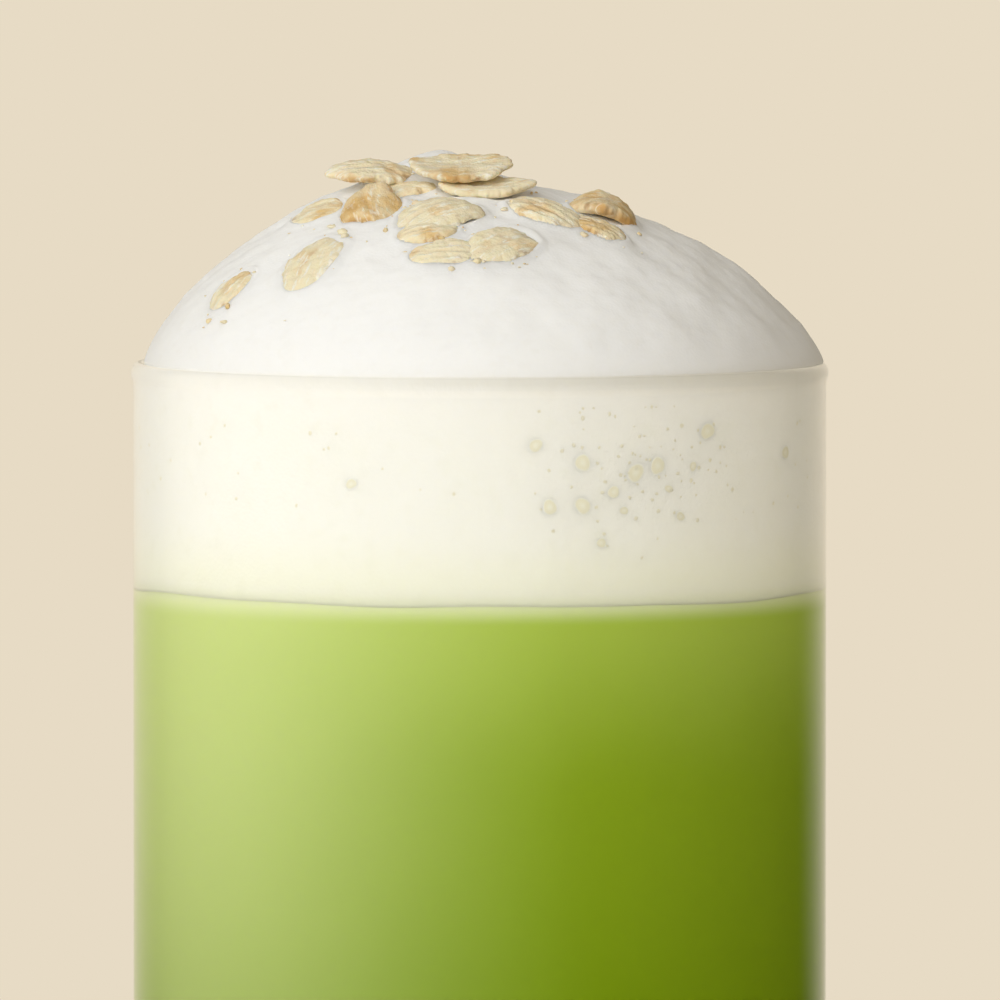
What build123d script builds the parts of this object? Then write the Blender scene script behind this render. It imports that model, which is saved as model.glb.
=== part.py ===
"""Matcha latte in a straight glass tumbler, with a dome of milk foam and rolled oats on top.

The frame: millimetres, +Z up, origin at the centre of the glass's underside, the front towards -Y.

Every piece is a solid of its own. The drink and the foam fill the glass, so they are cut from the
glass's own inside. The foam's top is a height worked out by foam_top(x, y), and each oat flake takes
its place, its slope and its height from that same function, so the flakes follow the foam.
"""

from build123d import *
import math
import os

# --- The glass ---------------------------------------------------------------------------------
glass_diameter = 75.0  # outside
glass_height = 108.0
wall = 1.7
base_thickness = 8.0
heel_radius = 3.0  # outside, where the wall meets the underside
inner_corner = 5.0  # inside, where the wall meets the floor
bead_height = 2.4  # the fire-polished rim
bead_swell = 0.25  # how far the rim stands out past the wall

# --- What fills it -----------------------------------------------------------------------------
foam_depth = 24.5  # foam below the rim, down to the drink
dome_rise = 19.5  # foam above the rim, without its mounds
dome_fullness = 0.75  # 0.5 is an ellipse, 1 a parabola
dome_lean = 1.6  # how far the top of the dome stands off the axis, towards -X
foot_overhang = 0.5  # how far the dome's foot reaches over the rim's inner edge
spill_overhang = 0.9  # more of the same on the +X side, where the foam lies on the rim
dome_sections = 14

# Mounds on the dome: across and back as shares of its radius, height and reach in mm.
foam_mounds = [
    (-0.13, 0.03, 3.3, 8.0),
    (-0.41, 0.00, 1.2, 9.0),
    (0.28, 0.40, 0.9, 8.0),
]

# --- Rolled oats -------------------------------------------------------------------------------
flake_thickness = 1.1
flake_edge = 0.62  # share of the thickness left at the edge
outline_points = 16

# One row a flake, the lowest in the pile first: across and back (shares of the dome's radius), turn
# of its long axis from +X, length, width, lift of its middle off the foam, lean to the front, dip of
# its +X end, and the radius it is rolled to. Plus bows a flake up, minus cups it, and a radius that
# is smaller than the flake is wide makes a curled one, bent round its long axis only.
flakes = [
    # across back    turn length width lift  lean  dip  roll
    (-0.475, -0.195, 10, 6.6, 6.0, 0.10, 0, 0, 30),
    (-0.490, -0.535, 62, 10.4, 6.4, 0.05, 0, 0, 34),
    (-0.730, -0.400, 20, 6.0, 5.6, 0.05, 0, 0, 30),
    (-0.100, -0.660, 2, 7.8, 5.4, 0.10, 0, 0, 30),
    (0.060, -0.625, 32, 9.2, 6.4, 0.35, 0, 0, 22),
    (-0.150, -0.545, 8, 6.8, 4.6, 0.30, 0, 0, 20),
    (-0.130, -0.460, 12, 10.2, 7.0, 0.80, 4, -4, 14),
    (-0.220, -0.205, 10, 7.8, 5.4, 0.45, 0, 0, 25),
    (0.346, -0.415, -25, 6.8, 4.2, 0.40, 0, 0, 18),
    (0.189, -0.400, -30, 8.8, 5.6, 0.60, 4, -2, 20),
    (0.015, -0.245, 4, 10.8, 6.4, 0.45, 2, -2, -26),
    (-0.315, -0.335, 75, 7.4, 7.4, 0.95, 14, 0, 5),
    (-0.310, -0.130, 0, 9.6, 5.4, 2.15, 7, 10, 30),
    (-0.055, -0.200, 0, 11.2, 7.4, 2.15, 10, 1, -40),
    (0.360, -0.245, 90, 6.5, 8.2, 1.25, 0, 0, 5.4),
    (-0.050, 0.220, 40, 8.2, 5.6, 0.35, 0, 0, 30),
    (-0.310, 0.270, -30, 9.4, 6.2, 0.35, 0, 0, 26),
    (0.240, 0.480, 55, 8.8, 5.8, 0.35, 0, 0, 24),
    (0.000, 0.420, 10, 10.2, 6.6, 0.50, 0, 0, 24),
    (0.400, 0.460, -48, 8.4, 5.8, 0.20, 0, 0, 28),
    (-0.420, 0.480, 25, 8.8, 6.0, 0.15, 0, 0, 30),
    (0.120, 0.620, -15, 7.6, 5.4, 0.10, 0, 0, 30),
    (-0.170, 0.700, 40, 8.4, 6.0, 0.10, 0, 0, 32),
]

# --- Worked out --------------------------------------------------------------------------------
glass_radius = glass_diameter / 2
inner_radius = glass_radius - wall
foam_bottom = glass_height - foam_depth
dome_radius = inner_radius + foot_overhang + spill_overhang / 2

os.makedirs("parts", exist_ok=True)


def turned(outline):
    """A closed outline of (radius, height) points, stood up in the XZ plane and turned about Z."""
    return revolve(Plane.XZ * make_face(outline), Axis.Z)


def glass_solid():
    """One profile: flat underside, heel, straight wall, rounded bead at the rim, and the inside."""
    under = Line((0, 0), (glass_radius - heel_radius, 0))
    heel = RadiusArc(under @ 1, (glass_radius, heel_radius), -heel_radius)
    outside = Line(heel @ 1, (glass_radius, glass_height - bead_height))
    rim = Spline(
        outside @ 1,
        (glass_radius + bead_swell, glass_height - bead_height / 2),
        (glass_radius - wall / 2, glass_height),
        (inner_radius, glass_height - wall / 2),
        tangents=[(0, 1), (0, 1), (-1, 0), (0, -1)],
    )
    inside = Line(rim @ 1, (inner_radius, base_thickness + inner_corner))
    corner = RadiusArc(inside @ 1, (inner_radius - inner_corner, base_thickness), inner_corner)
    floor = Line(corner @ 1, (0, base_thickness))
    axis = Line(floor @ 1, (0, 0))
    return turned([under, heel, outside, rim, inside, corner, floor, axis])


def drink_solid():
    """The drink: the inside of the glass from its floor up to the foam."""
    up = Line((0, foam_bottom), (0, base_thickness))
    floor = Line(up @ 1, (inner_radius - inner_corner, base_thickness))
    corner = RadiusArc(floor @ 1, (inner_radius, base_thickness + inner_corner), -inner_corner)
    side = Line(corner @ 1, (inner_radius, foam_bottom))
    top = Line(side @ 1, (0, foam_bottom))
    return turned([up, floor, corner, side, top])


def dome_height(share):
    """Height of the plain dome above the rim at a share of its radius, 0 at its top."""
    return dome_rise * (1 - min(share, 1.0) ** 2) ** dome_fullness


def dome_centre(share):
    """How far off the axis the dome's level circle of that share is centred, along X."""
    return (dome_lean + spill_overhang / 2) * share**2 - dome_lean


def dome_top(x, y):
    """Height of the plain dome over a point.

    Each level circle has a centre of its own, so the share is found by going round three times.
    """
    share = 0.5
    for _ in range(3):
        share = min(math.hypot(x - dome_centre(share), y) / dome_radius, 1.0)
    return glass_height + dome_height(share)


def foam_top(x, y):
    """Height of the foam over a point: the dome with its mounds, each a parabola of revolution."""
    height = dome_top(x, y)
    for across, back, rise, reach in foam_mounds:
        away = math.hypot(x - across * dome_radius, y - back * dome_radius)
        height += max(0.0, rise * (1 - (away / reach) ** 2))
    return height


def upward(surface, x, y):
    """The normal of a height surface, from the slope between points 0.5 mm to each side."""
    step = 0.5
    slope_x = (surface(x + step, y) - surface(x - step, y)) / (2 * step)
    slope_y = (surface(x, y + step) - surface(x, y - step)) / (2 * step)
    return Vector(-slope_x, -slope_y, 1).normalized()


def largest(shape):
    """The largest solid of a shape, for cuts that leave crumbs."""
    return max(shape.solids(), key=lambda solid: solid.volume)


def dome_solid():
    """Level circles, one above the other, lofted into the dome, with a skirt down to the rim."""
    circles = []
    for i in range(dome_sections):
        angle = math.pi / 2 * (1 - i / dome_sections)
        share = math.sin(angle)
        level = Pos(dome_centre(share), 0, glass_height + dome_height(share))
        circles.append(level * Circle(dome_radius * share))
    skirt = Cylinder(dome_radius, wall, align=(Align.CENTER, Align.CENTER, Align.MAX))
    return loft(circles) + Pos(dome_centre(1), 0, glass_height) * skirt


def mound_solid(across, back, rise, reach):
    """A ball set into the dome so that it stands out by rise and meets the dome at reach."""
    x, y = across * dome_radius, back * dome_radius
    dome_bend = 2 * dome_rise / dome_radius**2
    radius = 1 / (2 * rise / reach**2 + dome_bend)
    spot = Vector(x, y, dome_top(x, y)) + upward(dome_top, x, y) * (rise - radius)
    return Pos(*spot) * Sphere(radius)


def foam_solid(glass):
    """A plug from the drink up to the rim, the dome over it, and its mounds, less the glass."""
    plug = Pos(0, 0, foam_bottom) * Cylinder(
        inner_radius, foam_depth, align=(Align.CENTER, Align.CENTER, Align.MIN)
    )
    foam = plug + (dome_solid() - glass)
    for mound in foam_mounds:
        foam += mound_solid(*mound)
    return largest(foam)


def flake_outline(length, width, turn):
    """A blunt oval whose edge wanders in and out, a little differently on each flake."""
    points = []
    for i in range(outline_points):
        angle = 2 * math.pi * i / outline_points
        wander = 0.05 * math.sin(2 * angle + turn) + 0.04 * math.sin(3 * angle + 2.3 * turn)
        wander += 0.025 * math.sin(5 * angle + 0.7 * turn)
        reach = 1 + wander
        points.append((length / 2 * reach * math.cos(angle), width / 2 * reach * math.sin(angle), 0))
    return make_face(Spline(*points, periodic=True))


def flake_slab(length, width, roll):
    """A slab bowed to the roll radius, thickest in its middle and thinner at its edge.

    A curled flake is bent round its long axis at an even thickness. A flatter one is bowed both
    ways, more on its outer face than on its inner one, and that thins it towards its ends.
    """
    half = flake_thickness / 2
    bow = abs(roll)
    thinning = flake_thickness * (1 - flake_edge) * 8 / length**2
    if bow < width:
        top_radius = bow + half
        low_radius = bow - half
        top = Rot(0, 90, 0) * Cylinder(top_radius, 2 * length)
        low = Rot(0, 90, 0) * Cylinder(low_radius, 2 * length)
    else:
        top_radius = 1 / (1 / bow + thinning)
        low_radius = bow
        top = Sphere(top_radius)
        low = Sphere(low_radius)
    slab = Pos(0, 0, half - top_radius) * top - Pos(0, 0, -half - low_radius) * low
    return slab if roll > 0 else Rot(180, 0, 0) * slab


def flake_solid(across, back, turn, length, width, lift, lean, dip, roll):
    """One flake, bowed, cut to its outline, and laid on the foam at its own angle."""
    x, y = across * dome_radius, back * dome_radius
    normal = upward(foam_top, x, y)
    seat = Vector(x, y, foam_top(x, y)) + normal * lift
    lie = Plane(origin=seat, x_dir=Vector(1, 0, 0), z_dir=normal)
    prism = extrude(flake_outline(length, width, turn), width, both=True)
    shape = prism & flake_slab(length, width, roll)
    return largest(lie.location * Rot(lean, dip, 0) * Rot(0, 0, turn) * shape)


glass = glass_solid()
drink = drink_solid()
foam = foam_solid(glass)

# Where two flakes meet, the one laid later gives way to the one below it, and the foam gives way to
# every flake that sinks into it.
laid = []
for row in flakes:
    flake = flake_solid(*row)
    for below in laid:
        if flake.bounding_box().overlaps(below.bounding_box()):
            flake = largest(flake - below)
    laid.append(flake)
    foam = largest(foam - flake)

export_step(glass, "parts/glass.step")
export_step(drink, "parts/matcha_milk.step")
export_step(foam, "parts/milk_foam.step")
for number, flake in enumerate(laid, start=1):
    export_step(flake, f"parts/oat_{number:02d}.step")

print(f"{len(laid)} flakes, whole height {max(s.bounding_box().max.Z for s in laid):.1f} mm")
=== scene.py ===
"""Matcha latte in a straight glass, with a dome of milk foam and rolled oats: the looks.

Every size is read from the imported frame. Metres, +Z up, the front towards -Y.
"""

# %% [markdown]
# # The frame
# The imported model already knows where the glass, the drink, the foam and each oat flake lie. A scene
# that measures them there can't drift away from them, so the sizes below are all read, not typed.

# %% Load the frame
import bpy
import math
import numpy as np
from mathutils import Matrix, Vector


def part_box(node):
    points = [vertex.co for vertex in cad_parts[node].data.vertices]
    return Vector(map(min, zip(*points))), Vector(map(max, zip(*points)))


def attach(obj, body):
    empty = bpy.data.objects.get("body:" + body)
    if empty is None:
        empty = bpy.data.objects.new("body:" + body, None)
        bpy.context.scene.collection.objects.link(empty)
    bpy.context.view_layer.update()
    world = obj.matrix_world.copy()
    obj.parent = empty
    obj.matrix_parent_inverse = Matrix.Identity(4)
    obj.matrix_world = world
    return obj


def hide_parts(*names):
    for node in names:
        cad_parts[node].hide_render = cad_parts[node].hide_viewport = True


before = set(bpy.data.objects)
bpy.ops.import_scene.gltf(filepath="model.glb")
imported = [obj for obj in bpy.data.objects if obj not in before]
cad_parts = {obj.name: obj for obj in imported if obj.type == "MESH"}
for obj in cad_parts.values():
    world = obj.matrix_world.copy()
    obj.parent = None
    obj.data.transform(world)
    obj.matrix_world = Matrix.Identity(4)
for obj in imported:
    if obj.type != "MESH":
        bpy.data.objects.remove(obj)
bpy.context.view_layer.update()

MM = 0.001
POLE = 0.5 * MM
_, glass_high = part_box("glass")
drink_low, drink_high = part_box("matcha_milk")
foam_low, foam_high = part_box("milk_foam")

rim_z = glass_high[2]
bead_r = glass_high[0]
inner_r = drink_high[0]
floor_z = drink_low[2]
foam_z = drink_high[2]
oat_nodes = sorted(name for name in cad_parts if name.startswith("oat_"))


def node_points(name):
    """A CAD node's vertices as an array of rows, in metres."""
    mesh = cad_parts[name].data
    points = np.empty(len(mesh.vertices) * 3)
    mesh.vertices.foreach_get("co", points)
    return points.reshape(-1, 3)


glass_points = node_points("glass")
low_half = glass_points[glass_points[:, 2] < 0.5 * rim_z]
outer_r = np.hypot(low_half[:, 0], low_half[:, 1]).max()
wall = outer_r - inner_r
print(f"glass {2000 * outer_r:.1f} mm wide, wall {1000 * wall:.2f} mm, rim at {1000 * rim_z:.1f} mm")

# %% [markdown]
# # Camera
# A long lens far away keeps the glass's two sides parallel, and each circle nearly level. The camera stands
# a few degrees above the table and looks at a point under the rim.

# %% The camera
ELEVATION = math.radians(3.0)
DISTANCE = 2.4
FRAME_WIDTH = 108.2 * MM
SENSOR = 36.0
aim = Vector((2.2 * MM, 0.0, rim_z - 15.0 * MM))

camera_data = bpy.data.cameras.new("camera")
camera_data.sensor_width = SENSOR
camera_data.lens = SENSOR * DISTANCE / FRAME_WIDTH
camera = bpy.data.objects.new("camera", camera_data)
bpy.context.scene.collection.objects.link(camera)
away = Vector((0.0, -math.cos(ELEVATION), math.sin(ELEVATION)))
camera.location = aim + away * DISTANCE
camera.rotation_euler = (-away).to_track_quat("-Z", "Y").to_euler()
bpy.context.scene.camera = camera
print(f"lens {camera_data.lens:.0f} mm, {DISTANCE} m away")

# %% [markdown]
# # Helpers for surfaces
# Each new piece is a grid: rows of points along one parameter, columns along the other. A grid that
# goes round an axis closes on itself, so its last column joins its first and no seam is left.


# %% From a grid to a mesh
def grid_faces(rows, columns, closed):
    """Quads between neighbouring rows and columns; closed joins the last column to the first."""
    steps = columns if closed else columns - 1
    row, column = np.meshgrid(np.arange(rows - 1), np.arange(steps), indexing="ij")
    after = (column + 1) % columns
    this_row, next_row = row * columns, (row + 1) * columns
    corners = [this_row + column, this_row + after, next_row + after, next_row + column]
    return np.stack(corners, axis=-1).reshape(-1, 4)


def capped_grid(grid, start, end):
    """Points and faces of a closed grid of rings, with a point at each end that closes its pole."""
    rows, columns, _ = grid.shape
    points = np.vstack([grid.reshape(-1, 3), [start, end]])
    quads = grid_faces(rows, columns, True)
    ring = np.arange(columns)
    after = (ring + 1) % columns
    last = (rows - 1) * columns
    first_fan = np.stack([np.full(columns, rows * columns), after, ring], axis=-1)
    last_fan = np.stack([np.full(columns, rows * columns + 1), last + ring, last + after], axis=-1)
    return points, quads.tolist() + first_fan.tolist() + last_fan.tolist()


def new_piece(name, points, faces, material):
    """A mesh object in place, shaded smooth, with its material."""
    mesh = bpy.data.meshes.new(name)
    mesh.from_pydata(points.tolist(), [], faces)
    mesh.validate()
    mesh.polygons.foreach_set("use_smooth", [True] * len(mesh.polygons))
    mesh.materials.append(material)
    mesh.update()
    piece = bpy.data.objects.new(name, mesh)
    bpy.context.scene.collection.objects.link(piece)
    return piece


def add_attribute(piece, name, values):
    """One number a vertex, which a material can read by this name."""
    attribute = piece.data.attributes.new(name, "FLOAT", "POINT")
    attribute.data.foreach_set("value", np.asarray(values, dtype=np.float32))


def turned(radius, height, columns):
    """A profile of radii and heights, carried once round the Z axis."""
    angle = np.linspace(0, 2 * math.pi, columns, endpoint=False)
    x = radius[:, None] * np.cos(angle)
    y = radius[:, None] * np.sin(angle)
    return np.stack([x, y, np.broadcast_to(height[:, None], x.shape)], axis=-1)


def ripple(points, scale, seed, waves=7):
    """Smooth noise from -1 to 1: a sum of sine waves in seeded directions, about scale long."""
    dice = np.random.default_rng(seed)
    total = np.zeros(points.shape[:-1])
    for _ in range(waves):
        direction = dice.normal(size=3)
        direction *= 2 * math.pi / (scale * dice.uniform(0.7, 1.6) * np.linalg.norm(direction))
        total += np.sin(points @ direction + dice.uniform(0, 2 * math.pi))
    return total / math.sqrt(waves * 2)


# %% [markdown]
# # Helpers for materials
# A material is a Principled shader whose sockets are fed by a few small node chains. These helpers make
# a node, set its values and link it in one line each, so that a material reads like a recipe.


# %% Node helpers
def new_material(name):
    """An empty node material with its Principled shader, returned with its tree."""
    material = bpy.data.materials.new(name)
    material.use_nodes = True
    tree = material.node_tree
    return material, tree, tree.nodes["Principled BSDF"]


def feed(tree, source, socket):
    """Links a socket, or sets a plain value."""
    if isinstance(source, bpy.types.NodeSocket):
        tree.links.new(source, socket)
    else:
        socket.default_value = source


def math_node(tree, operation, first, second=0.0):
    """One sum: the output of a Math node."""
    node = tree.nodes.new("ShaderNodeMath")
    node.operation = operation
    feed(tree, first, node.inputs[0])
    feed(tree, second, node.inputs[1])
    return node.outputs[0]


def stretch(tree, value, low, high, out_low=0.0, out_high=1.0):
    """Maps low..high to out_low..out_high with soft ends."""
    node = tree.nodes.new("ShaderNodeMapRange")
    node.interpolation_type = "SMOOTHSTEP"
    feed(tree, value, node.inputs["Value"])
    for name, number in (("From Min", low), ("From Max", high), ("To Min", out_low), ("To Max", out_high)):
        node.inputs[name].default_value = number
    return node.outputs["Result"]


def blend_colours(tree, factor, first, second):
    """Mixes two colours by a factor."""
    node = tree.nodes.new("ShaderNodeMix")
    node.data_type = "RGBA"
    feed(tree, factor, node.inputs["Factor"])
    feed(tree, first, node.inputs["A"])
    feed(tree, second, node.inputs["B"])
    return node.outputs["Result"]


def noise(tree, vector, scale, detail=3.0, roughness=0.5):
    """Noise over a vector, from 0 to 1."""
    node = tree.nodes.new("ShaderNodeTexNoise")
    feed(tree, vector, node.inputs["Vector"])
    node.inputs["Scale"].default_value = scale
    node.inputs["Detail"].default_value = detail
    node.inputs["Roughness"].default_value = roughness
    return node.outputs["Fac"]


def place(tree):
    """The point on the object, in metres."""
    return tree.nodes.new("ShaderNodeTexCoord").outputs["Object"]


def height_of(tree):
    """The Z of the point on the object."""
    split = tree.nodes.new("ShaderNodeSeparateXYZ")
    tree.links.new(place(tree), split.inputs[0])
    return split.outputs["Z"]


def side_of(tree):
    """The X of the point on the object."""
    split = tree.nodes.new("ShaderNodeSeparateXYZ")
    tree.links.new(place(tree), split.inputs[0])
    return split.outputs["X"]


def attribute(tree, name):
    """A number stored on the mesh."""
    node = tree.nodes.new("ShaderNodeAttribute")
    node.attribute_name = name
    return node.outputs["Fac"]


def bump(tree, height, strength, distance):
    """A normal bent by a height map."""
    node = tree.nodes.new("ShaderNodeBump")
    node.inputs["Strength"].default_value = strength
    node.inputs["Distance"].default_value = distance
    tree.links.new(height, node.inputs["Height"])
    return node.outputs["Normal"]


def srgb(red, green, blue):
    """A colour as a screen shows it, 0 to 255, turned into the linear light that shaders use."""
    screen = np.array([red, green, blue]) / 255
    linear = np.where(screen <= 0.04045, screen / 12.92, ((screen + 0.055) / 1.055) ** 2.4)
    return (*linear.tolist(), 1.0)


# %% [markdown]
# # Grain, shared by foam and oats
# Foam is a mass of tiny bubbles and a rolled oat is floury, and both show it as a fine grain in the
# light. One node group makes that grain, and each material places it with its own size.


# %% The grain group
def make_grain_group():
    """Inputs Vector and Size (grains a metre); outputs Height and Mask."""
    group = bpy.data.node_groups.new("fine_grain", "ShaderNodeTree")
    group.interface.new_socket("Vector", in_out="INPUT", socket_type="NodeSocketVector")
    group.interface.new_socket("Size", in_out="INPUT", socket_type="NodeSocketFloat")
    group.interface.new_socket("Height", in_out="OUTPUT", socket_type="NodeSocketFloat")
    group.interface.new_socket("Mask", in_out="OUTPUT", socket_type="NodeSocketFloat")
    inside = group.nodes.new("NodeGroupInput")
    outside = group.nodes.new("NodeGroupOutput")
    cells = group.nodes.new("ShaderNodeTexVoronoi")
    group.links.new(inside.outputs["Vector"], cells.inputs["Vector"])
    group.links.new(inside.outputs["Size"], cells.inputs["Scale"])
    cloud = group.nodes.new("ShaderNodeTexNoise")
    group.links.new(inside.outputs["Vector"], cloud.inputs["Vector"])
    group.links.new(math_node(group, "MULTIPLY", inside.outputs["Size"], 0.23), cloud.inputs["Scale"])
    cloud.inputs["Detail"].default_value = 4.0
    height = math_node(group, "MULTIPLY", cells.outputs["Distance"], 0.6)
    group.links.new(math_node(group, "ADD", height, cloud.outputs["Fac"]), outside.inputs["Height"])
    group.links.new(stretch(group, cloud.outputs["Fac"], 0.52, 0.72), outside.inputs["Mask"])
    return group


grain_group = make_grain_group()


def grain(tree, vector, size):
    """Places the grain group and returns its height and mask."""
    node = tree.nodes.new("ShaderNodeGroup")
    node.node_tree = grain_group
    feed(tree, vector, node.inputs["Vector"])
    node.inputs["Size"].default_value = size
    return node.outputs["Height"], node.outputs["Mask"]


# %% [markdown]
# # The glass
# A drinking glass is blown or pressed round an axis, so its surface is one profile turned once round.
# The rim was melted smooth by a flame, which leaves a soft bead that stands a little proud of the wall.
# The profile starts under the base, goes up outside, over the rim and down inside to the floor.


# %% The glass's material
def glass_material():
    """Clear glass that bends what is seen through it, while lamps shine straight through it."""
    material, tree, shader = new_material("clear_glass")
    shader.inputs["Base Color"].default_value = (0.985, 0.995, 0.985, 1.0)
    shader.inputs["Roughness"].default_value = 0.02
    shader.inputs["IOR"].default_value = 1.5
    shader.inputs["Transmission Weight"].default_value = 1.0
    smears = noise(tree, place(tree), 160.0, 2.0)
    feed(tree, bump(tree, smears, 0.06, 0.0002), shader.inputs["Normal"])
    rays = tree.nodes.new("ShaderNodeLightPath")
    open_way = tree.nodes.new("ShaderNodeBsdfTransparent")
    mix = tree.nodes.new("ShaderNodeMixShader")
    tree.links.new(rays.outputs["Is Shadow Ray"], mix.inputs["Fac"])
    tree.links.new(shader.outputs["BSDF"], mix.inputs[1])
    tree.links.new(open_way.outputs["BSDF"], mix.inputs[2])
    tree.links.new(mix.outputs["Shader"], tree.nodes["Material Output"].inputs["Surface"])
    return material


# %% The glass's shape
HEEL = 3.0 * MM
INNER_CORNER = 5.0 * MM
BEAD_HEIGHT = 2.4 * MM


def arc(centre_r, centre_z, radius, start, end, count):
    """Points on a circle of the profile plane, from one angle to another, in degrees."""
    angle = np.radians(np.linspace(start, end, count))
    return centre_r + radius * np.cos(angle), centre_z + radius * np.sin(angle)


def glass_profile():
    """Radii and heights: underside, heel, wall, bead, rim, inside wall, inner corner and floor."""
    swell = bead_r - outer_r
    parts = [(np.linspace(POLE, outer_r - HEEL - 0.2 * MM, 12), np.zeros(12))]
    parts.append(arc(outer_r - HEEL, HEEL, HEEL, -90, 0, 12))
    straight = np.linspace(HEEL + 1.0 * MM, rim_z - BEAD_HEIGHT - 0.3 * MM, 24)
    parts.append((np.full(24, outer_r), straight))
    rise = np.linspace(0, 1, 10)
    bulge = outer_r + swell * np.sin(rise * math.pi / 2) ** 2
    parts.append((bulge, rim_z - BEAD_HEIGHT + rise * BEAD_HEIGHT * 0.5))
    half = (bead_r - inner_r) / 2
    over = np.radians(np.linspace(6, 174, 26))
    rim_height = rim_z - BEAD_HEIGHT * 0.5 * (1 - np.sin(over) ** 0.8)
    parts.append((inner_r + half + half * np.cos(over), rim_height))
    inside = np.linspace(rim_z - BEAD_HEIGHT * 0.6, floor_z + INNER_CORNER + 1.0 * MM, 24)
    parts.append((np.full(24, inner_r), inside))
    parts.append(arc(inner_r - INNER_CORNER, floor_z + INNER_CORNER, INNER_CORNER, 0, -90, 14))
    parts.append((np.linspace(inner_r - INNER_CORNER - 1.0 * MM, POLE, 10), np.full(10, floor_z)))
    return np.concatenate([p[0] for p in parts]), np.concatenate([p[1] for p in parts])


profile_r, profile_z = glass_profile()
grid = turned(profile_r, profile_z, 256)
points, faces = capped_grid(grid, (0, 0, 0), (0, 0, floor_z))
glass = new_piece("tumbler", points, faces, glass_material())
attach(glass, "root")
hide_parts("glass")
print(f"tumbler: {len(faces)} faces")

# %% [markdown]
# # The level between drink and foam
# Foam floats on milk, and where they meet the line is soft and a little wavy. Both pieces use the same
# function for that line, so no gap opens between them. Each reaches a hair into the glass wall, because
# a real drink wets the glass and leaves no air there.

# %% Where the drink ends
WETTING = 0.15 * MM
HIDDEN_EDGE = 0.96
filling_r = inner_r + WETTING
COLUMNS = 480
around = np.linspace(0, 2 * math.pi, COLUMNS, endpoint=False)
waves = 0.16 * np.sin(2 * around + 0.6) + 0.10 * np.sin(5 * around + 2.0) + 0.06 * np.sin(11 * around)
meeting_z = foam_z + waves * MM


# %% The drink's material
def drink_material():
    """Milky green under the foam, deeper and purer green lower down, with faint drifting clouds. The paler
    top and darker bottom are partly the milk's own tone and partly painted light and shade from light falling
    from above and through the foam; the -X side is painted paler, as if lit from the left.
    """
    material, tree, shader = new_material("matcha_milk")
    z = height_of(tree)
    clouds = noise(tree, place(tree), 55.0, 3.0)
    wander = math_node(tree, "MULTIPLY", math_node(tree, "SUBTRACT", clouds, 0.5), 7.0 * MM)
    level = math_node(tree, "ADD", z, wander)
    # Deep, middle and milky greens, from low down up to just under the foam: partly the milk's own tone,
    # partly painted light and shade for light falling from above and through the foam.
    deep_and_shaded = srgb(128, 158, 8)
    middle = srgb(150, 178, 40)
    milky_and_lit = srgb(176, 200, 84)
    veil = srgb(230, 238, 194)
    lower = stretch(tree, level, foam_z - 62 * MM, foam_z - 12 * MM)
    upper = stretch(tree, level, foam_z - 22 * MM, foam_z - 1 * MM)
    edge = stretch(tree, z, foam_z - 2.2 * MM, foam_z + 0.3 * MM)
    colour = blend_colours(tree, lower, deep_and_shaded, middle)
    colour = blend_colours(tree, upper, colour, milky_and_lit)
    # Painted light: the -X side, towards the lamp on the left, is painted paler, less so lower down.
    side = stretch(tree, side_of(tree), 14 * MM, -34 * MM, 0.0, 0.62)
    painted_light_fades_below = stretch(tree, level, foam_z - 50 * MM, foam_z - 15 * MM, 0.6, 1.0)
    side = math_node(tree, "MULTIPLY", side, painted_light_fades_below)
    colour = blend_colours(tree, side, colour, srgb(222, 234, 172))
    colour = blend_colours(tree, edge, colour, veil)
    feed(tree, colour, shader.inputs["Base Color"])
    shader.inputs["Roughness"].default_value = 0.35
    shader.inputs["Specular IOR Level"].default_value = 0.0
    shader.inputs["Subsurface Weight"].default_value = 0.25
    shader.inputs["Subsurface Radius"].default_value = (0.9, 1.0, 0.35)
    shader.inputs["Subsurface Scale"].default_value = 2.0 * MM
    return material


# %% The drink's shape
def drink_grid():
    """A profile from the floor's middle out, round the corner, up the wall and in over the top."""
    corner_r, corner_z = arc(
        filling_r - INNER_CORNER, floor_z - WETTING + INNER_CORNER, INNER_CORNER, -90, 0, 14
    )
    side_z = np.linspace(corner_z[-1] + 1 * MM, foam_z - 1 * MM, 38)
    side_z = np.append(side_z, [foam_z - 0.012 * MM, foam_z])
    radius = np.concatenate(
        [np.linspace(POLE, filling_r - INNER_CORNER - 1 * MM, 8), corner_r, np.full(40, filling_r)]
    )
    height = np.concatenate(
        [np.full(8, floor_z - WETTING), corner_z, side_z]
    )
    grid = turned(radius, height, COLUMNS)
    share = np.clip((grid[:, :, 2] - corner_z[-1]) / (foam_z - corner_z[-1]), 0, 1)
    grid[:, :, 2] += share * (meeting_z - foam_z)
    top = turned(np.linspace(HIDDEN_EDGE * filling_r, POLE, 12), np.full(12, foam_z), COLUMNS)
    return np.concatenate([grid, top])


grid = drink_grid()
points, faces = capped_grid(grid, (0, 0, floor_z - WETTING), (0, 0, foam_z))
drink = new_piece("matcha_drink", points, faces, drink_material())
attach(drink, "root")
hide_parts("matcha_milk")
print(f"matcha_drink: {len(faces)} faces")

# %% [markdown]
# # Reading each oat flake from the frame
# A rolled oat is a thin, bent oval. Its CAD solid has the right place, tilt and bend but a plain face.
# Main axes of the solid's points give the flake's own directions, a fitted quadratic gives its bend,
# and the farthest point in each direction gives its outline.

# %% Measure the flakes
SECTORS = 72


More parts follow.
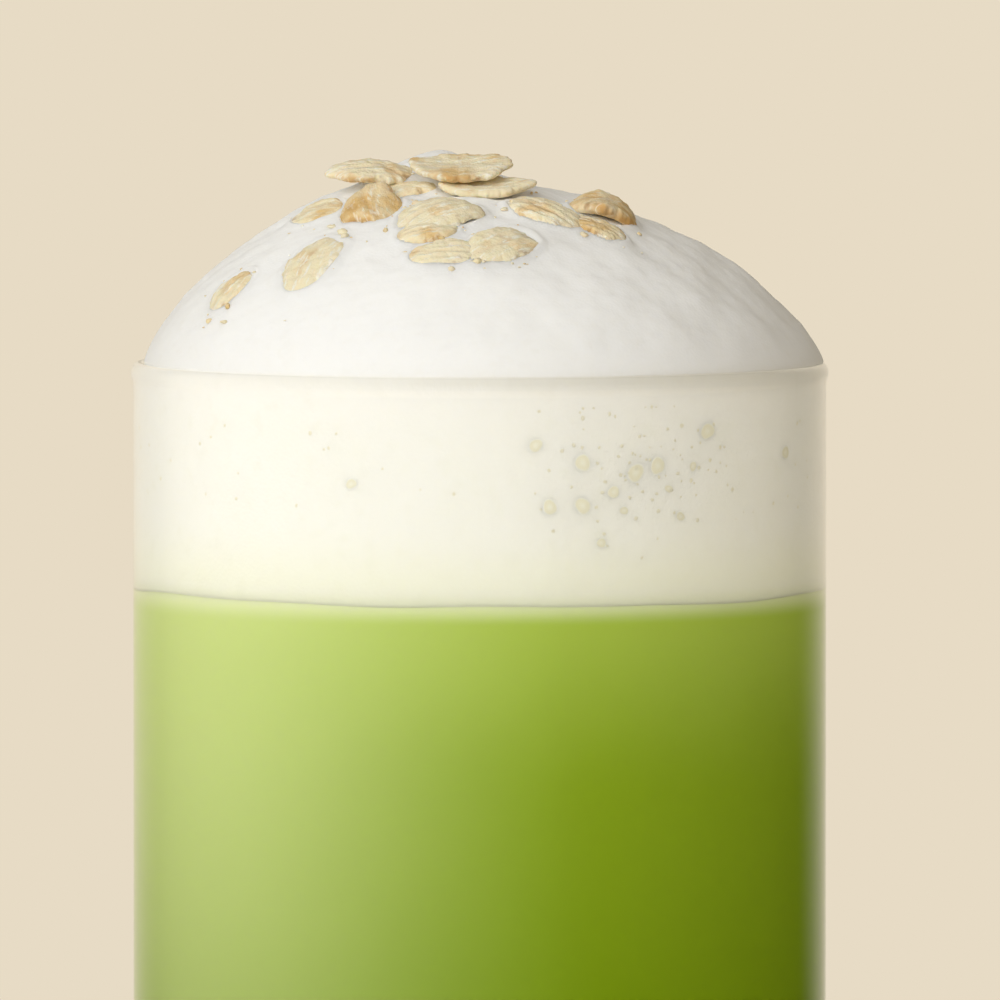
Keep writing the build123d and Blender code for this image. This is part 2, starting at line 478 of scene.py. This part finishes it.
def measure_flake(name):
    """Centre, axes (long, across, out), bend coefficients and outline of one CAD flake."""
    points = node_points(name)
    points = np.unique(np.round(points, 7), axis=0)
    low, high = points.min(axis=0), points.max(axis=0)
    centre = (low + high) / 2
    for _ in range(3):
        local = points - centre
        _, _, axes = np.linalg.svd(local - local.mean(axis=0), full_matrices=False)
        spans = local @ axes.T
        centre = centre + ((spans.max(axis=0) + spans.min(axis=0)) / 2) @ axes
    along, out = axes[0], axes[2]
    if out[2] < 0:
        out = -out
    if along[0] < 0:
        along = -along
    across = np.cross(out, along)
    a, b, h = (points - centre) @ along, (points - centre) @ across, (points - centre) @ out
    terms = np.stack([np.ones_like(a), a, b, a * a, a * b, b * b], axis=-1)
    bend = np.linalg.lstsq(terms, h, rcond=None)[0]
    thickness = 2 * np.percentile(np.abs(h - terms @ bend), 90)
    angle = np.arctan2(b, a)
    reach = np.hypot(a, b)
    sector = np.round(angle / (2 * math.pi) * SECTORS).astype(int) % SECTORS
    outline = np.zeros(SECTORS)
    np.maximum.at(outline, sector, reach)
    known = np.nonzero(outline > 0.45 * np.median(outline[outline > 0]))[0]
    outline = np.interp(np.arange(SECTORS), known, outline[known], period=SECTORS)
    return {
        "centre": centre, "along": along, "across": across, "out": out,
        "bend": bend, "outline": outline, "thickness": thickness,
    }


flakes = {name: measure_flake(name) for name in oat_nodes}
for name, flake in flakes.items():
    longest = 2000 * flake["outline"].max()
    print(f"{name}: about {longest:.1f} mm long, {1000 * flake['thickness']:.2f} mm thick")


def outline_at(flake, angle):
    """The outline's reach at any angle, between the measured sectors."""
    turns = np.mod(angle, 2 * math.pi) / (2 * math.pi) * SECTORS
    return np.interp(turns, np.arange(SECTORS + 1), np.append(flake["outline"], flake["outline"][0]))


def bend_at(flake, a, b):
    """Height of the flake's middle surface over its own plane."""
    c = flake["bend"]
    return c[0] + c[1] * a + c[2] * b + c[3] * a * a + c[4] * a * b + c[5] * b * b


# %% [markdown]
# # The foam
# Steamed milk foam holds a dome: fuller than a cone and flatter than a ball, leaning a little to one
# side, with a soft peak where it was spooned on. The dome is a height worked out from the distance to
# the axis. Soft ripples make it uneven, and near each oat that has sunk in, the foam swells over its edge.

# %% The dome
DOME_RISE = 19.5 * MM
FULLNESS = 0.75
LEAN = 1.6 * MM
SPILL = 0.45 * MM
dome_r = (foam_high[0] - foam_low[0]) / 2
PEAK = (-4.8 * MM, 1.1 * MM, 3.3 * MM, 4.3 * MM)
SHOULDER = (-15.0 * MM, 0.0, 1.1 * MM, 5.5 * MM)
BACK_SWELL = (10.3 * MM, 14.7 * MM, 0.9 * MM, 4.8 * MM)
RIGHT_SWELL = (24.0 * MM, -2.0 * MM, 0.45 * MM, 2.4 * MM)
LOW_SWELL = (28.5 * MM, -3.0 * MM, 0.35 * MM, 1.8 * MM)


def dome_points(share, angle):
    """Level circles: radius and centre follow the share, and the height a power of one less its square."""
    centre_x = (LEAN + SPILL) * share**2 - LEAN
    x = centre_x + dome_r * share * np.cos(angle)
    y = dome_r * share * np.sin(angle)
    z = rim_z + DOME_RISE * np.maximum(1 - share**2, 0) ** FULLNESS
    for spot_x, spot_y, rise, spread in (PEAK, SHOULDER, BACK_SWELL, RIGHT_SWELL, LOW_SWELL):
        z = z + rise * np.exp(-((x - spot_x) ** 2 + (y - spot_y) ** 2) / (2 * spread**2))
    return np.stack([x, y, z], axis=-1)


SWELL_HEIGHT = 0.42 * MM
SUNK_LIMIT = 0.95 * MM


def creep_over_oats(points):
    """Lifts the foam in a soft ring along the outline of every oat that it carries."""
    lift = np.zeros(points.shape[:-1])
    for flake in flakes.values():
        local = points - flake["centre"]
        a, b, h = local @ flake["along"], local @ flake["across"], local @ flake["out"]
        share = np.hypot(a, b) / outline_at(flake, np.arctan2(b, a))
        depth = np.abs(h - bend_at(flake, a, b))
        near = np.exp(-((depth / SUNK_LIMIT) ** 2) * 1.2)
        ring = np.exp(-(((share - 1.03) / 0.13) ** 2))
        under = np.where(share < 0.9, -0.25 * MM * near, 0.0)
        lift = np.maximum(lift, SWELL_HEIGHT * ring * near) + under
    return lift


def foam_grid():
    """Rings over the dome from its top to its foot, then down inside the glass, then in underneath."""
    slope = np.linspace(0.012, 1.0, 168)
    share = np.sin(slope * math.pi / 2)
    share_grid, angle_grid = np.meshgrid(share, around, indexing="ij")
    dome = dome_points(share_grid, angle_grid)
    soft = 0.22 * MM * ripple(dome, 9 * MM, 3) + 0.10 * MM * ripple(dome, 3.6 * MM, 5)
    soft = soft + 0.035 * MM * ripple(dome, 1.3 * MM, 8, waves=12)
    hold = np.clip((1 - share_grid) / 0.06, 0, 1)
    dome[:, :, 2] += (soft + creep_over_oats(dome)) * hold
    step = np.linspace(0, 1, 8)[1:, None]
    foot = dome[-1]
    tucked = np.stack([filling_r * np.cos(around), filling_r * np.sin(around)], axis=-1)
    into = (1 - step[:, :, None]) * foot[None, :, :2] + step[:, :, None] * tucked[None]
    drop = rim_z - BEAD_HEIGHT * 0.5 * step**1.5
    foot_rows = np.concatenate([into, np.broadcast_to(drop[:, :, None], into.shape[:2] + (1,))], axis=-1)
    fall = np.append(np.linspace(0, 1, 22)[1:-1], [0.9994, 1.0])[:, None]
    side_z = (1 - fall) * (rim_z - BEAD_HEIGHT * 0.5) + fall * meeting_z[None, :]
    side = np.stack(
        [np.broadcast_to(tucked[:, 0], side_z.shape), np.broadcast_to(tucked[:, 1], side_z.shape), side_z],
        axis=-1,
    )
    under = turned(np.linspace(HIDDEN_EDGE * filling_r, POLE, 8), np.full(8, foam_z), COLUMNS)
    return np.concatenate([dome, foot_rows, side, under])


# %% The foam's material
def foam_material():
    """White with a cream tint, tinged green just over the drink, with a fine bubbly grain."""
    material, tree, shader = new_material("milk_foam")
    z = height_of(tree)
    where = place(tree)
    white = srgb(254, 254, 253)
    cream = srgb(246, 248, 245)
    green_tinge = srgb(247, 249, 234)
    drink_edge = srgb(243, 248, 220)
    soft = noise(tree, where, 90.0, 4.0)
    inside = stretch(tree, z, rim_z + 1 * MM, rim_z - 6 * MM)
    colour = blend_colours(tree, inside, white, cream)
    near_drink = stretch(tree, z, foam_z + 9 * MM, foam_z + 1 * MM, 0.0, 0.75)
    colour = blend_colours(tree, near_drink, colour, green_tinge)
    edge = stretch(tree, z, foam_z + 1.6 * MM, foam_z - 0.2 * MM, 0.0, 0.9)
    colour = blend_colours(tree, edge, colour, drink_edge)
    height, mask = grain(tree, where, 2600.0)
    fleck = math_node(tree, "MULTIPLY", mask, 0.05)
    colour = blend_colours(tree, fleck, colour, srgb(205, 198, 172))
    patch = stretch(tree, soft, 0.45, 0.75, 0.0, 0.10)
    colour = blend_colours(tree, patch, colour, srgb(238, 236, 218))
    feed(tree, colour, shader.inputs["Base Color"])
    feed(tree, bump(tree, height, 0.25, 0.00012), shader.inputs["Normal"])
    shader.inputs["Roughness"].default_value = 0.75
    shader.inputs["Specular IOR Level"].default_value = 0.15
    shader.inputs["Subsurface Weight"].default_value = 0.7
    shader.inputs["Subsurface Radius"].default_value = (1.0, 0.98, 0.93)
    shader.inputs["Subsurface Scale"].default_value = 3.0 * MM
    return material


# %% Make the foam
grid = foam_grid()
top_point = grid[0].mean(axis=0)
points, faces = capped_grid(grid[:, ::-1], top_point, (0, 0, foam_z))
foam = new_piece("foam_dome", points, faces, foam_material())
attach(foam, "root")
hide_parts("milk_foam")
dome_surface = points[points[:, 2] > rim_z + 1 * MM]
print(f"foam_dome: {len(faces)} faces, top at {1000 * points[:, 2].max():.1f} mm")

# %% [markdown]
# # Bubbles against the glass
# Where a bubble touches the wall there is no white foam, and a soft oval shows, a little darker and more
# yellow than the foam: painted shade of the hollow air pocket. Each is a shallow patch on the wall's inside,
# a polar grid bent round the glass.
# A number stored on the mesh falls from its middle to its edge, so that the patch fades out.

# %% The bubbles
# Angle round from the front in degrees (plus is to the right), depth under the rim, width, height (mm).
LARGE_BUBBLES = [
    (27.2, 10.4, 2.0, 2.1), (31.4, 9.7, 1.7, 2.2), (17.6, 9.2, 1.7, 2.1), (17.6, 13.8, 1.8, 1.9),
    (11.9, 13.9, 1.7, 1.7), (23.1, 12.4, 1.6, 1.3), (9.5, 7.3, 1.6, 1.5), (41.8, 6.2, 2.0, 1.9),
    (25.0, 14.4, 1.0, 1.0), (33.6, 12.2, 1.1, 0.9), (36.0, 15.2, 1.2, 1.0), (20.9, 17.8, 1.3, 1.0),
    (38.6, 9.9, 1.0, 1.1), (-22.0, 11.5, 1.3, 1.2), (63.0, 9.0, 1.5, 1.6), (97.0, 11.0, 1.9, 1.6),
    (118.0, 8.2, 1.5, 1.8), (146.0, 13.0, 1.8, 1.6), (171.0, 9.6, 1.6, 1.5), (203.0, 12.4, 2.0, 1.7),
    (231.0, 7.9, 1.4, 1.4), (262.0, 14.1, 1.7, 1.5),
]
dice = np.random.default_rng(21)
small_count = 170
small_angle = np.concatenate([dice.normal(29, 11, 80), dice.uniform(-180, 180, small_count - 80)])
small_depth = np.clip(dice.normal(10.5, 4.5, small_count), 3.4, 22.0)
small_size = dice.uniform(0.2, 0.5, small_count)
small_height = small_size * dice.uniform(0.8, 1.2, small_count)
small_bubbles = np.stack([small_angle, small_depth, small_size, small_height], axis=-1)
bubbles = np.vstack([np.array(LARGE_BUBBLES), small_bubbles])

RINGS = 7
SPOKES = 24


def bubble_patches(rows):
    """For every bubble a polar grid; its uneven oval is laid on the wall's inside and bulges a hair."""
    ring = np.linspace(0, 1, RINGS)[None, :, None]
    spoke = np.linspace(0, 2 * math.pi, SPOKES, endpoint=False)[None, None, :]
    seed = np.arange(len(rows))[:, None, None]
    reach = ring * (1 + 0.10 * np.sin(2 * spoke + seed) + 0.05 * np.sin(3 * spoke + 2.1 * seed))
    width, height = rows[:, 2, None, None] / 2 * MM, rows[:, 3, None, None] / 2 * MM
    turn = np.radians(rows[:, 0, None, None] - 90) + reach * np.cos(spoke) * width / inner_r
    z = rim_z - rows[:, 1, None, None] * MM + reach * np.sin(spoke) * height
    radius = filling_r + 0.012 * MM + 0.03 * MM * (1 - ring**2) + 0 * turn
    points = np.stack([radius * np.cos(turn), radius * np.sin(turn), z + 0 * turn], axis=-1)
    middle = np.broadcast_to(1 - ring, turn.shape)
    faces = grid_faces(RINGS, SPOKES, True)
    shift = (np.arange(len(rows)) * RINGS * SPOKES)[:, None, None]
    return points.reshape(-1, 3), (faces[None] + shift).reshape(-1, 4), middle.reshape(-1)


def bubble_material():
    """The foam's colour at the patch's edge and a yellow-grey pocket inside, darkest near its rim: painted
    shade of the air pocket.
    """
    material, tree, shader = new_material("foam_bubbles")
    depth = attribute(tree, "depth")
    rim = stretch(tree, depth, 0.0, 0.28)
    middle = stretch(tree, depth, 0.35, 1.0)
    # Painted shade: the pocket is darker and more yellow than the foam, most of all in a ring near its edge.
    pocket_shade = blend_colours(tree, middle, srgb(238, 235, 215), srgb(245, 244, 230))
    colour = blend_colours(tree, rim, srgb(246, 248, 245), pocket_shade)
    speckle, _ = grain(tree, place(tree), 3000.0)
    feed(tree, colour, shader.inputs["Base Color"])
    feed(tree, bump(tree, speckle, 0.15, 0.0001), shader.inputs["Normal"])
    shader.inputs["Roughness"].default_value = 0.6
    shader.inputs["Specular IOR Level"].default_value = 0.1
    shader.inputs["Subsurface Weight"].default_value = 0.3
    shader.inputs["Subsurface Radius"].default_value = (1.0, 0.98, 0.93)
    shader.inputs["Subsurface Scale"].default_value = 1.0 * MM
    return material


points, faces, middle = bubble_patches(bubbles)
pockets = new_piece("foam_bubbles", points, faces.tolist(), bubble_material())
add_attribute(pockets, "depth", middle)
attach(pockets, "root")
print(f"foam_bubbles: {len(bubbles)} bubbles, {len(faces)} faces")

# %% [markdown]
# # The oat flakes
# Rolling squashes an oat flat: it leaves a crease along the middle, fine ridges along its length, floury
# white streaks, and a ragged, toasted rim. Each flake is two polar grids, top and underside, that meet at
# a rounded edge, built in the flake's own plane and then carried into place.

# %% The oats' shape
SPOKES_OAT = 120
RINGS_OAT = 26
TOASTED = {
    "oat_01": 0.45, "oat_02": 0.12, "oat_03": 0.25, "oat_04": 0.18, "oat_05": 0.16, "oat_06": 0.40,
    "oat_07": 0.22, "oat_08": 0.15, "oat_09": 0.60, "oat_10": 0.30, "oat_11": 0.20, "oat_12": 0.72,
    "oat_13": 0.25, "oat_14": 0.38, "oat_15": 0.55, "oat_16": 0.30, "oat_17": 0.45, "oat_18": 0.25,
    "oat_19": 0.35, "oat_20": 0.20, "oat_21": 0.50, "oat_22": 0.30, "oat_23": 0.22,
}


def oat_mesh(flake, seed):
    """Top rows from the middle to the edge, then underside rows back; returns points, faces and marks."""
    dice = np.random.default_rng(seed)
    angle = np.linspace(0, 2 * math.pi, SPOKES_OAT, endpoint=False)
    edge = outline_at(flake, angle)
    jags = 0.035 * np.sin(5 * angle + dice.uniform(0, 6)) + 0.030 * np.sin(9 * angle + dice.uniform(0, 6))
    jags += 0.018 * np.sin(17 * angle + dice.uniform(0, 6)) + 0.014 * np.sin(31 * angle + dice.uniform(0, 6))
    notch_at = dice.uniform(0, 2 * math.pi)
    notch = 0.10 * np.exp(-((np.angle(np.exp(1j * (angle - notch_at))) / 0.10) ** 2))
    edge = edge * (0.975 + jags - notch)
    share = np.sin(np.linspace(0.02, 1, RINGS_OAT) * math.pi / 2)
    share_rows = np.concatenate([share, share[::-1][1:]])[:, None]
    side = np.concatenate([np.ones(RINGS_OAT), -np.ones(RINGS_OAT - 1)])[:, None]
    a = share_rows * edge * np.cos(angle)
    b = share_rows * edge * np.sin(angle)
    half = flake["thickness"] / 2
    body = half * np.sqrt(np.clip(1 - share_rows**10, 0, 1)) * (0.92 + 0.08 * (1 - share_rows**2))
    flat = np.stack([a, b, np.full_like(a, seed * 0.01)], axis=-1)
    width = np.abs(b).max()
    length = np.abs(a).max()
    crease_line = b - 0.12 * width * np.sin(a / length * 2.2 + seed)
    crease = -0.08 * MM * np.exp(-((crease_line / (0.10 * width)) ** 2)) * (1 - share_rows**4)
    ridge = 0.035 * MM * np.sin(b / width * 17 + 1.4 * ripple(flat, 5 * MM, seed + 40))
    rough = 0.07 * MM * ripple(flat, 1.5 * MM, seed + 70, waves=10)
    pits = 0.035 * MM * ripple(flat, 0.6 * MM, seed + 90, waves=14)
    curl = 0.10 * MM * ripple(flat, 6 * MM, seed + 11) * share_rows**2
    detail = (crease + ridge) * np.where(side > 0, 1.0, 0.4) + rough + pits
    h = bend_at(flake, a, b) + side * body + side * detail * (1 - share_rows**12) + curl
    local = a[..., None] * flake["along"] + b[..., None] * flake["across"] + h[..., None] * flake["out"]
    grid = flake["centre"] + local
    start = grid[0].mean(axis=0)
    end = grid[-1].mean(axis=0)
    points, faces = capped_grid(grid[:, ::-1], start, end)

    def per_point(values, first, last):
        """Values for every point in the grid's order, with one for each end."""
        full = np.broadcast_to(values, a.shape)[:, ::-1].reshape(-1)
        return np.append(full, [first, last])

    marks = {
        "rim": per_point(share_rows, 0.0, 0.0),
        "crease": per_point(np.exp(-((crease_line / (0.09 * width)) ** 2)) * (1 - share_rows**6), 0.0, 0.0),
        "lengthwise": per_point(a / MM, 0.0, 0.0),
        "crosswise": per_point(b / MM, 0.0, 0.0),
    }
    return points, faces, marks


# %% The oats' material
def oat_material():
    """Cream flesh, toasted rim and crease, floury streaks along the flake, and a rough, dry surface."""
    material, tree, shader = new_material("rolled_oat")
    along = attribute(tree, "lengthwise")
    across = attribute(tree, "crosswise")
    toasted = attribute(tree, "toasted")
    rim = attribute(tree, "rim")
    crease = attribute(tree, "crease")
    flow = tree.nodes.new("ShaderNodeCombineXYZ")
    feed(tree, math_node(tree, "MULTIPLY", along, 0.28), flow.inputs["X"])
    feed(tree, across, flow.inputs["Y"])
    feed(tree, math_node(tree, "MULTIPLY", toasted, 37.0), flow.inputs["Z"])
    where = place(tree)
    streak = noise(tree, flow.outputs[0], 2.1, 5.0, 0.62)
    patch = noise(tree, where, 330.0, 3.0)
    flour = stretch(tree, streak, 0.50, 0.66)
    cream = srgb(250, 236, 202)
    tan = srgb(233, 198, 138)
    golden = srgb(201, 149, 78)
    brown = srgb(140, 88, 34)
    amount = math_node(tree, "ADD", toasted, stretch(tree, patch, 0.35, 0.70, -0.30, 0.30))
    colour = blend_colours(tree, stretch(tree, amount, 0.1, 0.8), cream, tan)
    colour = blend_colours(tree, stretch(tree, amount, 0.75, 1.3), colour, golden)
    rim_tint = stretch(tree, amount, 0.1, 0.9, 0.05, 0.7)
    edge = math_node(tree, "MULTIPLY", stretch(tree, rim, 0.86, 1.0), rim_tint)
    colour = blend_colours(tree, edge, colour, golden)
    spot = math_node(tree, "MULTIPLY", stretch(tree, noise(tree, where, 520.0, 2.0), 0.60, 0.74), 0.6)
    spot = math_node(tree, "MULTIPLY", spot, stretch(tree, rim, 0.6, 1.0))
    colour = blend_colours(tree, spot, colour, brown)
    groove = math_node(tree, "MULTIPLY", crease, stretch(tree, amount, 0.0, 0.9, 0.1, 0.45))
    colour = blend_colours(tree, groove, colour, srgb(190, 138, 72))
    dusted = math_node(tree, "MULTIPLY", flour, stretch(tree, amount, 1.2, 0.2, 0.3, 0.9))
    colour = blend_colours(tree, dusted, colour, srgb(254, 248, 232))
    feed(tree, colour, shader.inputs["Base Color"])
    height, _ = grain(tree, where, 4200.0)
    total = math_node(tree, "ADD", height, math_node(tree, "MULTIPLY", streak, 1.6))
    feed(tree, bump(tree, total, 0.6, 0.00012), shader.inputs["Normal"])
    feed(tree, stretch(tree, streak, 0.2, 0.8, 0.62, 0.85), shader.inputs["Roughness"])
    shader.inputs["Specular IOR Level"].default_value = 0.3
    shader.inputs["Subsurface Weight"].default_value = 0.25
    shader.inputs["Subsurface Radius"].default_value = (1.0, 0.7, 0.4)
    shader.inputs["Subsurface Scale"].default_value = 0.8 * MM
    return material


# %% Make the flakes
oat_finish = oat_material()
for number, (name, flake) in enumerate(flakes.items(), start=1):
    points, faces, marks = oat_mesh(flake, number)
    piece = new_piece(f"rolled_{name}", points, faces, oat_finish)
    for mark, values in marks.items():
        add_attribute(piece, mark, values)
    add_attribute(piece, "toasted", np.full(len(points), TOASTED.get(name, 0.3)))
    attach(piece, "root")
    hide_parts(name)
print(f"{len(flakes)} rolled oats")

# %% [markdown]
# # Crumbs
# Rolled oats always shed crumbs and flour, which cling to the wet foam round them. Each crumb is a ball
# whose points are pushed in and out, half sunk in the foam. All are joined into one piece.

# %% The crumbs
CRUMB_RINGS = 5
CRUMB_SPOKES = 9


def crumb_mesh(count_round_flake, seed):
    """Uneven balls on the dome, close to the flakes' outlines; returns points, faces and the ball numbers."""
    dice = np.random.default_rng(seed)
    centres = []
    for flake in flakes.values():
        turn = dice.uniform(0, 2 * math.pi, count_round_flake)
        reach = outline_at(flake, turn) * (1.08 + dice.exponential(0.22, count_round_flake))
        offset = reach[:, None] * (
            np.cos(turn)[:, None] * flake["along"] + np.sin(turn)[:, None] * flake["across"]
        )
        centres.append(flake["centre"] + offset)
    centres = np.vstack(centres)
    gap = ((centres[:, None, :2] - dome_surface[None, :, :2]) ** 2).sum(axis=-1)
    centres = dome_surface[gap.argmin(axis=1)]
    size = dice.uniform(0.10, 0.20, len(centres)) * MM * (1 + 1.6 * (dice.random(len(centres)) > 0.82))
    tilt = np.linspace(0.35, math.pi - 0.35, CRUMB_RINGS)[:, None]
    spin = np.linspace(0, 2 * math.pi, CRUMB_SPOKES, endpoint=False)[None, :]
    ball_x = np.sin(tilt) * np.cos(spin)
    ball_y = np.sin(tilt) * np.sin(spin)
    ball = np.stack([ball_x, ball_y, np.cos(tilt) + 0 * spin], axis=-1)
    points, faces = capped_grid(ball[:, ::-1], (0, 0, 1), (0, 0, -1))
    stretch_by = dice.uniform(0.6, 1.5, (len(centres), 1, 3)) * (1, 1, 0.6)
    dents = 1 + dice.uniform(-0.22, 0.22, (len(centres), len(points), 1))
    all_points = centres[:, None] + points[None] * stretch_by * dents * size[:, None, None]
    all_faces = [[corner + k * len(points) for corner in face] for k in range(len(centres)) for face in faces]
    return all_points.reshape(-1, 3), all_faces, np.repeat(np.arange(len(centres)), len(points))


points, faces, owner = crumb_mesh(9, 61)
crumbs = new_piece("oat_crumbs", points, faces, oat_finish)
shade_of_crumb = np.random.default_rng(62).uniform(0.0, 0.7, owner.max() + 1)
add_attribute(crumbs, "toasted", shade_of_crumb[owner])
for mark, values in (("rim", 0 * owner), ("crease", 0 * owner), ("lengthwise", owner), ("crosswise", owner)):
    add_attribute(crumbs, mark, values)
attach(crumbs, "root")
print(f"oat_crumbs: {owner.max() + 1} crumbs, {len(faces)} faces")

# %% [markdown]
# # Floor and light
# The table is pale and has no edge in view: near the glass it takes light and shadow, and farther out it
# fades into the backdrop's own colour. The light is a large soft source to the left and a warm, dim room.

# %% What the glass reflects
BACKDROP = srgb(231, 219, 197)


def reflected(tree, direction):
    """How bright the room is for reflections: a glow on the left, dim in front, full behind."""
    split = tree.nodes.new("ShaderNodeSeparateXYZ")
    tree.links.new(direction, split.inputs[0])
    left = math_node(tree, "MAXIMUM", math_node(tree, "MULTIPLY", split.outputs["X"], -1.0), 0.0)
    glow = math_node(tree, "MULTIPLY", math_node(tree, "POWER", left, 3.0), 0.9)
    behind = stretch(tree, split.outputs["Y"], 0.62, 1.02, 0.02, 1.0)
    return math_node(tree, "MINIMUM", math_node(tree, "ADD", glow, behind), 1.4)


# %% The floor

def floor_material():
    """Pale matte near the glass; farther than a hand's width it turns into the plain backdrop."""
    material, tree, shader = new_material("table_top")
    shader.inputs["Roughness"].default_value = 0.9
    shader.inputs["Base Color"].default_value = srgb(226, 213, 190)
    distance = tree.nodes.new("ShaderNodeVectorMath")
    distance.operation = "LENGTH"
    tree.links.new(place(tree), distance.inputs[0])
    far = stretch(tree, distance.outputs["Value"], 0.16, 0.42)
    rays = tree.nodes.new("ShaderNodeLightPath")
    facing = tree.nodes.new("ShaderNodeVectorMath")
    facing.operation = "NORMALIZE"
    tree.links.new(place(tree), facing.inputs[0])
    dimmed = math_node(tree, "SUBTRACT", reflected(tree, facing.outputs["Vector"]), 1.0)
    mirrored = math_node(tree, "MULTIPLY", rays.outputs["Is Reflection Ray"], rays.outputs["Is Glossy Ray"])
    strength = math_node(tree, "ADD", 1.0, math_node(tree, "MULTIPLY", dimmed, mirrored))
    softened = math_node(tree, "MULTIPLY", rays.outputs["Is Diffuse Ray"], 0.75)
    strength = math_node(tree, "SUBTRACT", strength, softened)
    glow = tree.nodes.new("ShaderNodeEmission")
    glow.inputs["Color"].default_value = BACKDROP
    tree.links.new(strength, glow.inputs["Strength"])
    mix = tree.nodes.new("ShaderNodeMixShader")
    tree.links.new(far, mix.inputs["Fac"])
    tree.links.new(shader.outputs["BSDF"], mix.inputs[1])
    tree.links.new(glow.outputs["Emission"], mix.inputs[2])
    tree.links.new(mix.outputs["Shader"], tree.nodes["Material Output"].inputs["Surface"])
    return material


floor_r = np.array([0.05, 0.15, 0.3, 0.6, 1.5, 4.0, 9.0])
floor_grid = turned(floor_r, np.zeros(len(floor_r)), 96)
rows, columns, _ = floor_grid.shape
floor_faces = grid_faces(rows, columns, True)[:, ::-1].tolist() + [list(range(columns))]
table = new_piece("table_top", floor_grid.reshape(-1, 3), floor_faces, floor_material())


# %% The room
def room_light():
    """The room: plain backdrop colour to look at, dim and warm to light with, and for reflections
    dark in front, the backdrop behind, and a broad glow on the left."""
    world = bpy.data.worlds.new("room")
    bpy.context.scene.world = world
    world.use_nodes = True
    tree = world.node_tree
    shade = tree.nodes["Background"]
    rays = tree.nodes.new("ShaderNodeLightPath")
    seen = tree.nodes.new("ShaderNodeVectorMath")
    seen.operation = "SCALE"
    seen.inputs[0].default_value = BACKDROP[:3]
    direction = tree.nodes.new("ShaderNodeTexCoord").outputs["Generated"]
    tree.links.new(reflected(tree, direction), seen.inputs["Scale"])
    mirrored = math_node(tree, "MULTIPLY", rays.outputs["Is Reflection Ray"], rays.outputs["Is Glossy Ray"])
    colour = blend_colours(tree, mirrored, BACKDROP, seen.outputs["Vector"])
    tree.links.new(colour, shade.inputs["Color"])
    dimming = math_node(tree, "MULTIPLY", rays.outputs["Is Diffuse Ray"], 0.78)
    tree.links.new(math_node(tree, "SUBTRACT", 1.0, dimming), shade.inputs["Strength"])


room_light()


# %% The lamps
def soft_lamp(name, azimuth, elevation, distance, size, power, colour):
    """A round lamp that faces the foam. Azimuth 0 is the front, and minus is to the left."""
    data = bpy.data.lights.new(name, "AREA")
    data.shape = "DISK"
    data.size = size
    data.energy = power
    data.color = colour
    lamp = bpy.data.objects.new(name, data)
    bpy.context.scene.collection.objects.link(lamp)
    turn, rise = math.radians(azimuth), math.radians(elevation)
    away = Vector((math.sin(turn) * math.cos(rise), -math.cos(turn) * math.cos(rise), math.sin(rise)))
    target = Vector((0, 0, 0.75 * rim_z))
    lamp.location = target + away * distance
    lamp.rotation_euler = away.to_track_quat("Z", "Y").to_euler()
    lamp.visible_glossy = False
    lamp.visible_transmission = False
    return lamp


soft_lamp("key", -38, 28, 1.1, 0.9, 7.9, (0.97, 0.995, 1.0))
soft_lamp("fill", 5, 30, 1.6, 1.2, 4.4, (0.97, 0.99, 1.0))

scene = bpy.context.scene
scene.view_settings.view_transform = "Standard"
